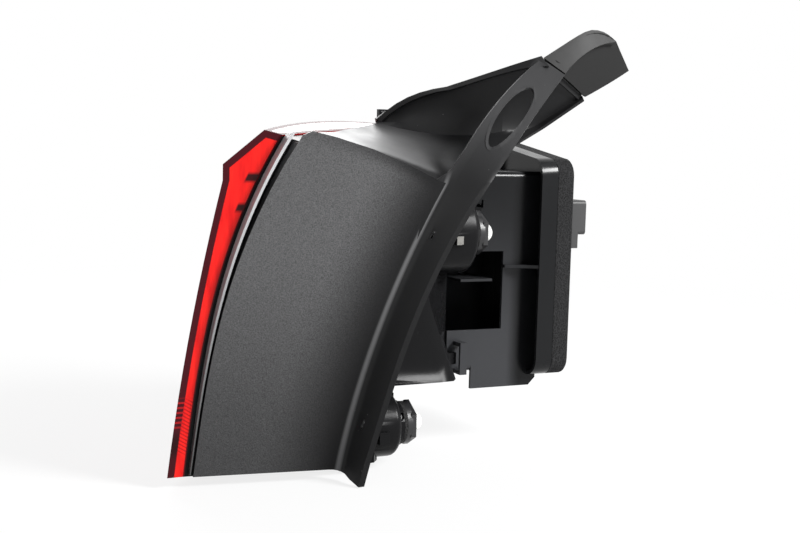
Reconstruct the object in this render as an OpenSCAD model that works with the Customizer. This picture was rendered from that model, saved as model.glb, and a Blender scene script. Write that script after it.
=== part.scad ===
// Tail light cluster for the rear corner of a car.
// The origin lies where the fixing stud crosses the sealing face of the gasket.
// +X points into the car body, -X out of the back of the car, -Y to the tailgate, +Z up.

/* [Gasket and carrier] */
// Width of the sealing gasket
gasket_w = 100; // [90:1:120]
// Height of the sealing gasket on its tailgate side
gasket_h = 174; // [160:1:200]
// How much higher the gasket stands on its outer side
gasket_rise = 11; // [0:1:14]
// Thickness of the foam gasket
gasket_t = 15; // [8:0.5:20]
// Width of the gasket's band
gasket_band = 15; // [8:0.5:16]
// Outer corner radius of the gasket
gasket_r = 14; // [8:0.5:20]
// Thickness of the carrier's flange and back plate
plate_t = 3; // [2:0.25:5]
// Wall of the carrier box
carrier_wall = 2.5; // [1.5:0.25:4]
// How far the box's back plate is set in from the flange
plate_depth = 6; // [3:0.5:12]
// Height of the window in the carrier's near wall
window_h = 62; // [40:1:70]
// Distance from the window to the carrier's flange
window_inset = 36; // [28:1:42]
// Depth of the skirt under the carrier
skirt_drop = 14; // [6:0.5:18]

/* [Lamp body] */
// Distance from the sealing face to the back wall of the lamp body
back_x = 102; // [90:1:110]
// Distance from the centre plane to the tailgate side of the lens
lens_y = 68; // [64:1:74]
// Height of the lens's inner top corner
top_z = 103; // [96:1:110]
// Depth of the lens below the stud
bottom_z = 136; // [128:1:142]
// Height of the edge where the lens slants back
kink_z = 79; // [74:1:86]
// Reach of the lens at its foot
foot_reach = 331; // [322:1:338]
// Reach of the lens at the slanted edge
kink_reach = 294; // [288:1:300]
// Plan run of the lens towards the car body
sweep_x = 150; // [135:1:160]
// Plan run of the lens across the car
sweep_y = 148; // [136:1:156]
// Wall of the lens
lens_wall = 3; // [2:0.25:4]
// Depth of the lens's side wall at its foot
side_low = 12; // [9:0.5:18]
// Depth of the lens's side wall at its top corner
side_high = 15; // [10:0.5:22]
// Wall of the lamp body
body_wall = 2.5; // [1.5:0.25:3.5]
// Width of the body's rim beside the lens
rim_w = 7; // [4:0.5:10]
// Tilt of the lamp's top towards the outside of the car
top_tilt_out = 16.5; // [12:0.5:19]
// Tilt of the lamp's top towards the car body
top_tilt_back = 13; // [10:0.5:15]

/* [Bulbs] */
// Radius of the socket's neck
neck_r = 14; // [12:0.25:15]
// Width of the hexagonal grip across its corners
grip_w = 34; // [32:0.5:38]
// Thickness of the grip
grip_t = 4; // [3:0.25:6]
// Clearance round a socket's neck
neck_gap = 0.4; // [0.2:0.05:0.8]
// Radius of the boss round the upper bulb
upper_boss_r = 31; // [27:0.5:32]
// Radius of the boss round the lower bulb
lower_boss_r = 24; // [20:0.5:25]
// Height of the upper bulb
upper_z = 29; // [24:1:34]
// Distance of the upper bulb from the centre plane
upper_y = 48; // [46:0.5:49]
// Depth of the lower bulb
lower_z = 112; // [110:0.5:113]
// Distance of the lower bulb from the centre plane
lower_y = 60; // [58:0.5:61]
// Radius of a bulb's glass
bulb_r = 9.5; // [7:0.25:10.5]
// Length of a bulb's glass
bulb_len = 34; // [26:1:38]

/* [Side cover] */
// Thickness of the cover
cover_t = 2.5; // [1.75:0.25:3.5]
// Turn of the cover's panel from the line of the car
cover_turn = 8; // [6:0.5:10]
// Gap between the lens's rim and the cover
cover_gap = 1.5; // [1:0.25:2.5]
// Distance from the sealing face to the crease at the cover's foot
crease_low = 212; // [206:1:218]
// Distance from the sealing face to the crease at the cover's top
crease_high = 134; // [128:1:140]
// Height of the crease's top end
crease_z = 75; // [68:1:80]
// Width of the flange beside the crease
flange_w = 30; // [24:1:36]
// Length of the oval opening in the arm
oval_len = 62; // [50:1:70]
// Width of the oval opening in the arm
oval_w = 17; // [12:0.5:19]
// Distance from the sealing face to the tip of the horn
tip_x = 37; // [28:1:46]
// Height of the horn's tip
tip_z = 183; // [176:1:190]
// Gap at the joint of the end cap
cap_gap = 0.5; // [0.25:0.25:1.5]
// Radius of the pins that hold the cover to the lamp body
stake_r = 2; // [1.5:0.25:3]

/* [Fixings] */
// Radius of the fixing stud
stud_r = 3; // [2.5:0.25:4]
// Length of the stud beyond the sealing face
stud_len = 22; // [14:1:30]
// Radius of the locating pin
pin_r = 5; // [4:0.25:6]
// How far the locating pin stands out of the sealing face
pin_len = 14; // [8:1:20]
// Width of the harness connector
connector_w = 26; // [20:1:30]
// Height of the harness connector
connector_h = 28; // [24:1:34]
// How far the connector stands out of the sealing face
connector_out = 24; // [20:1:32]

/* [Hidden] */
$fn = 48;
eps = 0.02;

// Plain vector and list helpers
function mix(a, b, t) = a + (b - a) * t;
function unit(v) = v / norm(v);
function flat(rows) = [for (r = rows) for (p = r) p];
function hold(i, n) = i < 0 ? 0 : (i > n ? n : i);
function bend(a, b, c, t) = a * (1 - t) * (1 - t) + b * 2 * t * (1 - t) + c * t * t;
function lift(p, z) = [for (q = p) [q[0], q[1], z]];
function quad(a, b, c, d) = [[a, b, c], [a, c, d]];

// A plan outline moved inwards by d. The outline runs counter-clockwise.
function inset(p, d) = let (m = len(p)) [for (j = [0:m - 1])
    let (e0 = unit(p[j] - p[(j + m - 1) % m]), e1 = unit(p[(j + 1) % m] - p[j]),
         n0 = [-e0[1], e0[0]], n1 = [-e1[1], e1[0]], k = unit(n0 + n1))
    p[j] + k * d / max(0.3, k * n0)];

// Unit normal of a grid of points at one place
function grid_normal(g, i, j) =
    let (n = len(g) - 1, m = len(g[0]) - 1)
    unit(cross(g[hold(i + 1, n)][j] - g[hold(i - 1, n)][j],
               g[i][hold(j + 1, m)] - g[i][hold(j - 1, m)]));

// The grid moved back along its normals by t
function behind(g, t) = [for (i = [0:len(g) - 1]) [for (j = [0:len(g[0]) - 1])
    g[i][j] - t * grid_normal(g, i, j)]];

// A wall of thickness t behind a grid of points. Cells where keep is false are left out.
module sheet(g, t, keep = function (i, j) true) {
    n = len(g);
    m = len(g[0]);
    o = n * m;
    used = function (i, j) i >= 0 && j >= 0 && i < n - 1 && j < m - 1 && keep(i, j);
    faces = flat([for (i = [0:n - 2]) for (j = [0:m - 2]) if (used(i, j))
        let (a = i * m + j, b = a + m, c = b + 1, d = a + 1)
        concat(quad(a, d, c, b), quad(o + a, o + b, o + c, o + d),
            used(i, j - 1) ? [] : quad(a, b, o + b, o + a),
            used(i, j + 1) ? [] : quad(c, d, o + d, o + c),
            used(i - 1, j) ? [] : quad(d, a, o + a, o + d),
            used(i + 1, j) ? [] : quad(b, c, o + c, o + b))]);
    polyhedron(concat(flat(g), flat(behind(g, t))), faces);
}

// A solid through a stack of outlines, each counter-clockwise seen from the last one.
// Two solids that share a twisted side match when one of them has its triangles turned.
module loft(s, turned_faces = false) {
    n = len(s);
    m = len(s[0]);
    sides = flat([for (i = [0:n - 2]) for (j = [0:m - 1])
        let (k = (j + 1) % m, a = i * m + j, b = a + m, c = (i + 1) * m + k, d = i * m + k)
        turned_faces ? quad(b, c, d, a) : quad(a, b, c, d)]);
    foot = [for (j = [0:m - 1]) j];
    head = [for (j = [m - 1:-1:0]) (n - 1) * m + j];
    polyhedron(flat(s), concat(sides, [foot, head]));
}

// A rectangle with round corners, centred
module rounded(w, h, r) {
    square([w - 2 * r, h], center = true);
    square([w, h - 2 * r], center = true);
    for (x = [-1, 1]) {
        for (y = [-1, 1]) {
            translate([x * (w / 2 - r), y * (h / 2 - r)])
                circle(r);
        }
    }
}

// A box between two corners
module block(a, b) {
    translate(a)
        cube(b - a);
}

// A round bar along X from x0 to x1
module bar(y, z, x0, x1, r) {
    translate([x0, y, z])
        rotate([0, 90, 0])
            cylinder(h = x1 - x0, r = r);
}

// A turned shape along X, whose outline gives [radius, x]
module turned(y, z, outline) {
    translate([0, y, z])
        rotate([0, 90, 0])
            rotate_extrude()
                polygon(outline);
}

// Lens profile: reach of the inner front edge and of the side wall's back edge at a height
kink_low = kink_z - 11;
slant = 1.22;
apex_back = (top_z - kink_z) * slant;
function rise(z) = (z + bottom_z) / (kink_low + bottom_z);
function front_x(z) =
    z < kink_low ? -foot_reach + (foot_reach - kink_reach) * (0.65 * rise(z) + 0.35 * pow(rise(z), 2))
    : -kink_reach + max(0, z - kink_z) * slant;
rear_top_x = -kink_reach + apex_back + side_high;
function climb(z) = (z + bottom_z) / (top_z + bottom_z);
function rear_x(z) = let (t = climb(z), run = rear_top_x + foot_reach - side_low)
    -foot_reach + side_low + run * (0.41 * t + 0.59 * pow(t, 3));
return_w = 10;
lens_far_y = sweep_y - lens_y;
function far_x(z) = front_x(z) + sweep_x + return_w;

// Level outline of the lens, opened backwards by ext
curve_steps = 12;
function front_point(z, t) =
    [front_x(z), -lens_y] + bend([0, 0], [0.37 * sweep_x, 0.64 * sweep_y], [sweep_x, sweep_y], t);
function lens_outline(z, ext) = concat(
    [[rear_x(z) + ext, -lens_y], [far_x(z) + ext, lens_far_y]],
    [for (i = [curve_steps:-1:0]) front_point(z, i / curve_steps)]);
over = 16;
floor_z = -bottom_z + 56.5;
step_h = 0.5;
levels = concat([for (i = [0:3]) mix(-bottom_z, floor_z - step_h, i / 3)],
    [for (i = [0:8]) mix(floor_z, kink_low, i / 8)], [kink_z, top_z, top_z + over]);

// Everything under the slanted top of the lamp, less d
module below_top(d) {
    reach = 500;
    translate([-kink_reach + apex_back, -lens_y, top_z])
        rotate([top_tilt_out, top_tilt_back, 0])
            translate([-reach, -reach, -2 * reach - d])
                cube(2 * reach);
}

// The lens's space, less d all round. The foot is raised by d and the back opened by ext.
module lens_block(d, ext) {
    intersection() {
        loft([for (z = levels)
            lift(inset(lens_outline(z, ext), d), z == -bottom_z ? z + d : z)]);
        below_top(d);
    }
}

module lens_shell() {
    difference() {
        lens_block(0, 0);
        lens_block(lens_wall, 14);
    }
}

// Clear field in the front of the lens for the reversing light
field_w = 74;
field_h = 30;
field_r = 6;
field_z = -bottom_z + 42;
field_turn = 47;
field_at = 0.52;
module field_block() {
    translate([front_point(field_z, field_at)[0], front_point(field_z, field_at)[1], field_z])
        rotate([90, 0, field_turn])
            linear_extrude(height = 60, center = true)
                rounded(field_w, field_h, field_r);
}

module outer_lens() {
    color([0.72, 0.05, 0.04])
        difference() {
            lens_shell();
            field_block();
        }
}

module clear_window() {
    color([0.9, 0.9, 0.92])
        intersection() {
            lens_shell();
            field_block();
        }
}

// Reflex reflector: a thicker layer on the inside of the lens, low beside the tailgate
reflex_t = 3;
reflex_low = -bottom_z + 12;
reflex_high = -bottom_z + 54;
reflex_far = -lens_y + 46;
module reflex_reflector() {
    color([0.55, 0.03, 0.03])
        intersection() {
            difference() {
                lens_block(lens_wall, 14);
                lens_block(lens_wall + reflex_t, 24);
            }
            block([-foot_reach - 5, -lens_y + lens_wall + reflex_t + 1, reflex_low],
                [-foot_reach + 75, reflex_far, reflex_high]);
        }
}

// Light guide: an upright rod behind the lens's inner edge, held by the bezel
guide_r = 4;
guide_back = 18;
guide_in = 13;
guide_low = -bottom_z + 62;
guide_high = kink_low - 4;
function guide_at(z) = [front_x(z) + guide_back, -lens_y + guide_in];
function ring_points(c, r, z, n) = [for (i = [0:n - 1])
    [c[0] + r * cos(360 * i / n), c[1] + r * sin(360 * i / n), z]];
function guide_levels() = [for (i = [0:8]) mix(guide_low, guide_high, i / 8)];
module light_guide() {
    color([0.95, 0.85, 0.85])
        loft([for (z = guide_levels()) ring_points(guide_at(z), guide_r, z, 12)]);
}

// Bezel: a frame across the mouth of the lamp body, with a saddle for the light guide
bezel_t = 2;
bezel_border = 15;
bezel_back = 1;
bezel_far = 8;
saddle_w = 5;
function mouth_x(z, y) = mix(rear_x(z), far_x(z), (y + lens_y) / sweep_y);

// Strip of plan across the mouth between two depths, shortened by d at both ends
function mouth_strip(z, d, x0, x1) = let (ya = -lens_y + body_wall + d, yb = lens_far_y - bezel_far - d)
    [[mouth_x(z, ya) + x1, ya], [mouth_x(z, yb) + x1, yb],
     [mouth_x(z, yb) + x0, yb], [mouth_x(z, ya) + x0, ya]];
module mouth_slab(d, x0, x1) {
    z0 = -bottom_z + body_wall + d;
    loft([for (z = concat([z0], [for (q = levels) if (q > z0 + 1) q])) lift(mouth_strip(z, d, x0, x1), z)]);
}
module saddle() {
    y = -lens_y + guide_in;
    loft([for (z = guide_levels()) let (g = guide_at(z), back = bezel_back + bezel_t / 2)
        lift([[g[0], y - saddle_w], [mouth_x(z, y - saddle_w) + back, y - saddle_w],
              [mouth_x(z, y + saddle_w) + back, y + saddle_w], [g[0], y + saddle_w]], z)]);
}
module inner_bezel() {
    color([0.1, 0.1, 0.1])
        difference() {
            intersection() {
                union() {
                    difference() {
                        mouth_slab(0, bezel_back, bezel_back + bezel_t);
                        intersection() {
                            mouth_slab(bezel_border, bezel_back - 4, bezel_back + bezel_t + 4);
                            below_top(bezel_border);
                        }
                    }
                    saddle();
                }
                below_top(body_drop + body_wall);
            }
            light_guide();
        }
}

// Places of the two bulbs along the car
neck_x = -back_x + 8.5;
lower_neck_x = -back_x - 53.5;
seal_t = 3;
collar_t = 3;
grip_r = grip_w / 2;
boss_wall = 2.5;
boss_end = 3;
neck_len = 4.5;
neck_hole = neck_r + neck_gap;
neck_wall = 2.5;
lug = 2.5;

// Lamp body: level outlines of the part above the floor and of the part below it
carrier_y = gasket_w / 2 - gasket_band;
wall_y = lens_y + 11;
corner_run = 26;
bulge_top = -9;
function corner_x(z) = -back_x - 36
    + corner_run * max(0, min(1, (bulge_top - z) / (bulge_top - floor_z)));
function rim_points(z, ext) = [[rear_x(z) - ext, -lens_y], [rear_x(z) + rim_w, -lens_y]];
function side_points(k) = [[k - 16, -wall_y], [k - 5, -wall_y + 1.5], [k, -wall_y + 8]];
function far_points(z, ext) = [[far_x(z) + 4, lens_far_y - 5], [far_x(z) + 3, lens_far_y],
    [far_x(z) - ext, lens_far_y]];
function upper_outline(z, ext) = concat(rim_points(z, ext), side_points(corner_x(z)),
    [[-back_x - 3, -carrier_y - 2], [-back_x, -carrier_y + 3], [-back_x, carrier_y + 12],
     [-back_x - 3, carrier_y + 18]], far_points(z, ext));
lower_back = lower_neck_x - 20;
function lower_outline(z, ext) = concat(rim_points(z, ext), side_points(lower_back),
    [[lower_back + 20, -26], [lower_back + 38, 10], [lower_back + 54, 44], [lower_back + 54, 52]],
    far_points(z, ext));
function body_outline(z, ext) = z < floor_z ? lower_outline(z, ext) : upper_outline(z, ext);
body_ext = 16;
body_drop = 1;
module body_block() {
    intersection() {
        loft([for (z = levels) lift(body_outline(z, 0), z)], true);
        below_top(body_drop);
    }
}
module body_hollow() {
    intersection() {
        loft([for (z = levels)
            lift(inset(body_outline(z, body_ext), body_wall), z > floor_z ? z : z + body_wall)], true);
        below_top(body_drop + body_wall);
    }
}

module boss(y, z, x0, x1, r) {
    round_r = 5;
    turned(y, z, concat([[0, x0], [r, x0], [r, x1 - round_r]],
        [for (i = [1:5]) [r - round_r + round_r * cos(18 * i), x1 - round_r + round_r * sin(18 * i)]],
        [[neck_hole + neck_wall, x1], [neck_hole + neck_wall, x1 + neck_len], [0, x1 + neck_len]]));
}

module boss_bore(y, z, x0, x1, r) {
    bar(y, z, x0, x1 - boss_end, r - boss_wall);
    bar(y, z, x0, x1 + neck_len + 1, neck_hole);
    for (a = [30:120:270]) {
        translate([x1 - boss_end - 1, y, z])
            rotate([a, 0, 0])
                translate([0, neck_hole - lug, -lug])
                    cube([boss_end + neck_len + 2, 2 * lug, 2 * lug]);
    }
}

// Posts on the lamp body that hold the cover: place along the car and height
function wall_ends(z) = [rear_x(z) + rim_w, (z < floor_z ? lower_back : corner_x(z)) - 16];
stakes = [for (p = [[0.38, 48 - bottom_z], [0.36, kink_z - 41], [0.82, 40 - bottom_z], [0.82, kink_z - 49]])
    [mix(wall_ends(p[1])[0], wall_ends(p[1])[1], p[0]), p[1]]];
stake_boss_r = stake_r + 3;
stake_gap = 4;
stake_rise = 1.5;
stake_depth = 7;
function wall_at(x, z) = let (e = wall_ends(z)) mix(-lens_y, -wall_y, (x - e[0]) / (e[1] - e[0]));
function seat_y(p) = min(panel_y(p[0]) + cover_t + stake_gap, wall_at(p[0], p[1]) - stake_rise);

module stake_bosses() {
    for (p = stakes) {
        translate([p[0], seat_y(p), p[1]])
            rotate([-90, 0, 0])
                cylinder(h = max(stake_depth + 1, wall_at(p[0], p[1]) - seat_y(p) + 2), r = stake_boss_r);
    }
}

module stake_holes() {
    for (p = stakes) {
        translate([p[0], seat_y(p) - 1, p[1]])
            rotate([-90, 0, 0])
                cylinder(h = stake_depth + 1, r = stake_r);
    }
}

// Screws through the carrier's tabs into the back wall
tab_t = 3;
tab_y = carrier_y + 6;
tab_heights = [-48, 44];
screw_r = 2;
screw_head_r = 4;
screw_head_t = 2.6;
screw_len = 12;
screw_boss_r = 4.5;

module lamp_housing() {
    color([0.16, 0.16, 0.17])
        difference() {
            union() {
                difference() {
                    body_block();
                    body_hollow();
                }
                boss(-upper_y, upper_z, neck_x - 45, neck_x - neck_len, upper_boss_r);
                boss(-lower_y, -lower_z, lower_mouth, lower_neck_x - neck_len, lower_boss_r);
                stake_bosses();
                for (z = tab_heights) {
                    bar(tab_y, z, -back_x - screw_len - 2, -back_x, screw_boss_r);
                }
                strip_pad();
                boss_rib();
                boss_catch();
                top_hook();
                catch_nose();
            }
            boss_bore(-upper_y, upper_z, neck_x - upper_bowl - 9, neck_x - neck_len, upper_boss_r);
            boss_bore(-lower_y, -lower_z, lower_mouth, lower_neck_x - neck_len, lower_boss_r);
            stake_holes();
            for (z = tab_heights) {
                bar(tab_y, z, -back_x - screw_len, -back_x + 1, screw_r);
            }
        }
}

// Hook at the outer top corner, and the nose that the carrier's clip snaps over
hook_in = 16;
hook_w = 9;
hook_t = 5;
hook_h = 20;
hook_reach = 6;
module top_hook() {
    x = far_x(kink_z) + hook_in;
    y = lens_far_y - 24;
    z = top_z;
    block([x, y, z - 8], [x + hook_w, y + hook_t, z + hook_h]);
    block([x - hook_reach, y, z + hook_h - hook_t], [x + 1, y + hook_t, z + hook_h]);
    block([x - hook_reach, y, z + hook_h - 2 * hook_t], [x - hook_reach + 3, y + hook_t, z + hook_h - 1]);
}

clip_low = -82;
clip_high = -57;
clip_x = -back_x + 6;
clip_w = 6;
clip_out = 12;
module catch_nose() {
    translate([-back_x - 8, -carrier_y - 9, clip_low + 8])
        linear_extrude(height = clip_high - clip_low - 16)
            polygon([[0, -2], [13, 2], [13, 6], [6, 9], [0, 9]]);
}

// Gasket outline: a rectangle with round corners whose top edge climbs outwards
function corner_arc(c, r, from) = [for (i = [0:6]) c + r * [cos(from + 15 * i), sin(from + 15 * i)]];
function ring_outline(d) = let (w = gasket_w / 2 - d, r = max(1, gasket_r - d), h = gasket_h / 2 - d) concat(
    corner_arc([-w + r, -h + r], r, 180), corner_arc([w - r, -h + r], r, 270),
    corner_arc([w - r, h + gasket_rise - r], r, 0), corner_arc([-w + r, h - r], r, 90));

// A plate across the car in the outline of the gasket, from x0 to x1
module ring_plate(d, x0, x1) {
    translate([x0, 0, 0])
        rotate([90, 0, 90])
            linear_extrude(height = x1 - x0)
                polygon(ring_outline(d));
}

module foam_gasket() {
    color([0.2, 0.2, 0.2])
        difference() {
            ring_plate(0, -gasket_t, 0);
            ring_plate(gasket_band, -gasket_t - 1, 1);
        }
}

// Carrier: a box between the lamp body and the gasket's flange
box_low = -gasket_h / 2 + 5;
box_high = gasket_h / 2 - 11;
box_r = 5;
window_top = 13;
flange_back = -gasket_t - plate_t;
plate_back = flange_back - plate_depth;
plate_face = plate_back + plate_t;
in_y = carrier_y - carrier_wall;
rim_back = 11.5;
rim_wall = 3;
shelf_t = 2.5;
socket_room = 3;

// The carrier's box, moved inwards by d, from x0 to x1
module carrier_box(d, x0, x1) {
    translate([x0, 0, (box_low + box_high) / 2])
        rotate([90, 0, 90])
            linear_extrude(height = x1 - x0)
                rounded(2 * (carrier_y - d), box_high - box_low - 2 * d, box_r - d);
}

module rear_carrier() {
    color([0.13, 0.13, 0.14])
        difference() {
            union() {
                difference() {
                    union() {
                        ring_plate(0, flange_back, -gasket_t);
                        difference() {
                            ring_plate(0, flange_back - rim_back, flange_back + eps);
                            ring_plate(rim_wall, flange_back - rim_back - 1, flange_back);
                        }
                        carrier_box(0, -back_x, flange_back + eps);
                    }
                    carrier_box(carrier_wall, -back_x - 1, plate_back);
                    carrier_box(carrier_wall, plate_face, 0);
                    block([-back_x - 1, -carrier_y - 1, window_top - window_h],
                        [flange_back - window_inset, -in_y + 1, window_top]);
                }
                // rib on the near wall, divider in the box, skirt and ribs of the back plate
                linear_extrude(height = shelf_t)
                    polygon([[flange_back + eps, -carrier_y + eps], [flange_back - window_inset, -carrier_y + eps],
                        [flange_back - window_inset, -carrier_y - 3], [flange_back - rim_back, -gasket_w / 2 + 1],
                        [flange_back + eps, -gasket_w / 2 + 1]]);
                block([-back_x + 12, -in_y - eps, -11], [flange_back - window_inset - 8, in_y + eps, -9]);
                translate([0, -in_y, 0])
                    rotate([90, 0, 0])
                        linear_extrude(height = carrier_wall)
                            polygon([[-80, box_low + box_r], [-80, box_low - skirt_drop],
                                [-27, box_low - skirt_drop], [-21, box_low - skirt_drop + 6],
                                [-21, box_low + box_r]]);
                for (z = [-62, -20, 62]) {
                    block([plate_face - eps, 4, z - 1], [flange_back, in_y + eps, z + 1]);
                }
                // finger above the upper bulb, clip strap, tabs for the screws
                block([neck_x + 14, -carrier_y - 11, upper_z + 19], [neck_x + 21, -carrier_y + eps, upper_z + 21.5]);
                block([neck_x + 14, -carrier_y - 11, upper_z + 19], [neck_x + 18, -carrier_y - 8, upper_z + 25]);
                block([clip_x, -carrier_y - clip_out, clip_low], [clip_x + clip_w, -carrier_y - clip_out + 2.5, clip_high]);
                block([clip_x, -carrier_y - clip_out, clip_high - 3], [clip_x + clip_w, -carrier_y + eps, clip_high]);
                block([clip_x, -carrier_y - clip_out, clip_low], [clip_x + clip_w, -carrier_y + eps, clip_low + 3]);
                for (z = tab_heights) {
                    block([-back_x, carrier_y - eps, z - 7], [-back_x + tab_t, tab_y + 6, z + 7]);
                }
            }
            // room for the bulb's boss and grip, holes for the fixings
            bar(-upper_y, upper_z, -back_x - 1, neck_x - neck_len + 0.5, upper_boss_r + 0.5);
            bar(-upper_y, upper_z, neck_x - neck_len - 1, neck_x + seal_t + collar_t + grip_t + 3, grip_r + socket_room);
            bar(0, 0, plate_back - 1, 0, stud_r + shank_more);
            for (z = tab_heights) {
                bar(tab_y, z, -back_x - 1, -back_x + tab_t + 1, screw_r);
            }
            block([plate_back - 1, -connector_y - connector_w / 2 + 3, connector_z - connector_h / 2 + 3],
                [0, -connector_y + connector_w / 2 - 3, connector_z + connector_h / 2 - 3]);
            bar(vent_y, vent_z, plate_back - 1, plate_face + 1, vent_stem_r);
        }
}

// Side cover: panel plane, edges and the flange that runs on as the arm
panel_y0 = lens_y + 5;
function panel_y(x) = -panel_y0 - (x + 300) * tan(cover_turn);
function cover_left(z) = rear_x(z) + rim_w + cover_gap - 3;
function crease_x(z) = let (t = (z + bottom_z) / (crease_z + bottom_z))
    -crease_low + (crease_low - crease_high) * (0.52 * t + 0.48 * t * t);
function crease_at(z) = [crease_x(z), panel_y(crease_x(z)), z];
foot_tip = 7;
flange_top = 77;
flange_y = 110;
edge_swell = 33;
lip_w = 4.6;
function edge_at(z) = let (t = (z + bottom_z) / (flange_top + bottom_z), k = crease_at(crease_z))
    [-crease_low + flange_w * 0.375 + (flange_w * 1.33 + (crease_low - crease_high - 78)) * t + 56 * t * t
        + edge_swell * max(0, t) * pow(1 - t, 3), -flange_y, z];
arm_left_end = [-41, -60, 163];
arm_right_end = [-27, -72, 151];
arm_rows = 9;
flange_rows = 14;
fillet_r = 7;
corner_drop = 9;

// Height of the panel's top edge above a place between its left end (0) and the crease (1)
function top_edge(f) = mix(top_z - 3, crease_z, f) + 5 * sin(180 * f)
    - corner_drop * pow(max(0, 1 - f / 0.09), 2);
panel_stops = [0, 0.03, 0.09, 0.25, 0.5, 0.75, 1];
function panel_point(s, f) = let (
        z = mix(-bottom_z, top_edge(f), s),
        zl = mix(-bottom_z, top_edge(0.1), s),
        zr = mix(-bottom_z, crease_z, s),
        x = mix(cover_left(zl), crease_x(zr), f))
    [x, panel_y(x), z];

function strip_left(s) = s <= 1 ? crease_at(mix(-bottom_z, crease_z, s))
    : bend(crease_at(crease_z), [-100, -86, 128], arm_left_end, s - 1);
function strip_right(s) = s <= 1 ? edge_at(mix(-bottom_z - foot_tip, flange_top, s))
    : bend(edge_at(flange_top), [-66, -92, 117], arm_right_end, s - 1);
// One row across panel, crease and flange; above s = 1 only its last points count
function cover_row(s) = let (
        k = strip_left(s), e = strip_right(s), t = min(s, 1),
        inner = mix(e - [lip_w, 0, 0], mix(k, e, 0.85), max(0, min(1, 3 * (s - 1)))),
        a = panel_point(t, 1 - fillet_r / 110), b = k + fillet_r * unit(e - k),
        blend = max(0, min(1, (s - 1) * 6)))
    concat(
        [[panel_point(t, 0)[0], -lens_y - 1.2, panel_point(t, 0)[2] + 40 * max(0, s - 1)]],
        [for (f = panel_stops) if (f < 1) panel_point(t, f) + [0, 0, 60 * max(0, s - 1)]],
        [for (i = [0:4]) mix(bend(a, k, b, i / 4), mix(k, e, i * 0.06), blend)],
        [mix(k, inner, 0.55), inner, e]);
panel_columns = len(panel_stops);
function cover_steps() = concat([for (i = [arm_rows:-1:1]) 1 + i / arm_rows],
    [for (i = [flange_rows:-1:0]) i / flange_rows]);

// Top of the cover and the far sheet behind it, from the lens (0) to the joint of the cap (1)
far_foot = [-24, -25, 112];
far_joint = [14, -35, 137];
ridge_joint = [-40, -59, 163];
function far_crease(s) = s < 0.7 ? bend([-146, 8, 111], [-92, -36, 90], far_foot, s / 0.7)
    : mix(far_foot, far_joint, (s - 0.7) / 0.3);
function near_edge(s) = s < 0.42 ? let (p = panel_point(1, 0.08 + 0.92 * s / 0.42)) p + [0, cover_t * 0.6, -1]
    : s < 0.7 ? bend(panel_point(1, 1) + [0, cover_t * 0.6, -1], [-100, -62, 80], far_foot + [-2, -6, -4], (s - 0.42) / 0.28)
    : mix(far_foot + [-2, -6, -4], far_joint + [-1, -3, -2], (s - 0.7) / 0.3);
function sheet_top(s) = s < 0.3 ? bend([-146, 9, 113], [-130, -5, 133], [-101, -20, 138], s / 0.3)
    : mix([-101, -20, 138], ridge_joint, (s - 0.3) / 0.7);
function ridge_lip(s) = sheet_top(s) + [2, -3 - 5 * pow(s, 6), -1 - 6 * pow(s, 6)];
function top_row(s) = concat(
    [for (f = [0:2]) mix(near_edge(s), far_crease(s), f / 3)],
    [mix(near_edge(s), far_crease(s), 0.93)],
    [for (f = [0.06, 0.35, 0.65, 0.93]) mix(far_crease(s), sheet_top(s), f) + [0, 5 * sin(180 * f) * (1 - pow(s, 4)), 0]],
    [sheet_top(s) + [0, -1, 0], ridge_lip(s)]);

// Pegged joint of cover and cap: its plane runs through the ends of arm, ridge and far sheet
joint_r = 4;
joint_pad_r = 5.5;
joint_len = 6;
joint_in = 12;
peg_len = 4;
joint_near = unit(arm_right_end - ridge_joint);
joint_far = unit(far_joint - ridge_joint);
module at_joint() {
    d = unit(cross(joint_near, joint_far));
    translate(ridge_joint + joint_in * unit(joint_near + joint_far))
        rotate([0, acos(d[2]), atan2(d[1], d[0])])
            children();
}

// Oval opening in the arm, as a prism across it with a margin round it
arm_mid = 0.5;
function arm_axes() = let (
        c = mix(strip_left(1 + arm_mid), strip_right(1 + arm_mid), 0.5),
        along = unit(mix(strip_left(1.6), strip_right(1.6), 0.5) - mix(strip_left(1.4), strip_right(1.4), 0.5)),
        over_way = strip_right(1.5) - strip_left(1.5),
        across = unit(over_way - (over_way * along) * along))
    [c, along, across, cross(along, across)];
module oval(grow, low, high) {
    f = arm_axes();
    loft([for (h = [low, high]) [for (i = [0:27]) let (t = 360 * i / 28)
        f[0] + (oval_len / 2 + grow) * cos(t) * f[1] + (oval_w / 2 + grow) * sin(t) * f[2] + h * f[3]]]);
}

slot_w = 2;
slot_h = 7;
module flange_slot(s, f) {
    translate(mix(strip_left(s), strip_right(s), f))
        rotate([0, 22, -50])
            cube([slot_w, 16, slot_h], center = true);
}

module stake_pins() {
    for (p = stakes) {
        from_y = panel_y(p[0]) + cover_t / 2;
        translate([p[0], from_y, p[1]])
            rotate([-90, 0, 0]) {
                cylinder(h = seat_y(p) - from_y, r = stake_boss_r);
                cylinder(h = seat_y(p) - from_y + stake_depth - 1, r = stake_r);
            }
    }
}

module side_cover() {
    color([0.25, 0.25, 0.26])
        union() {
            difference() {
                sheet([for (s = cover_steps()) cover_row(s)], cover_t,
                    function (i, j) i >= arm_rows || j >= panel_columns);
                oval(0, -10, 10);
                flange_slot(0.81, 0.34);
                flange_slot(0.175, 0.45);
            }
            sheet([for (i = [0:20]) top_row(i / 20)], cover_t);
            stake_pins();
            difference() {
                at_joint()
                    translate([0, 0, -joint_len])
                        cylinder(h = joint_len, r = joint_pad_r);
                at_joint()
                    translate([0, 0, -peg_len - 1])
                        cylinder(h = peg_len + 2, r = stake_r);
            }
            difference() {
                oval(2.6, -cover_t, 0.9);
                oval(0, -10, 10);
            }
        }
}

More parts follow.
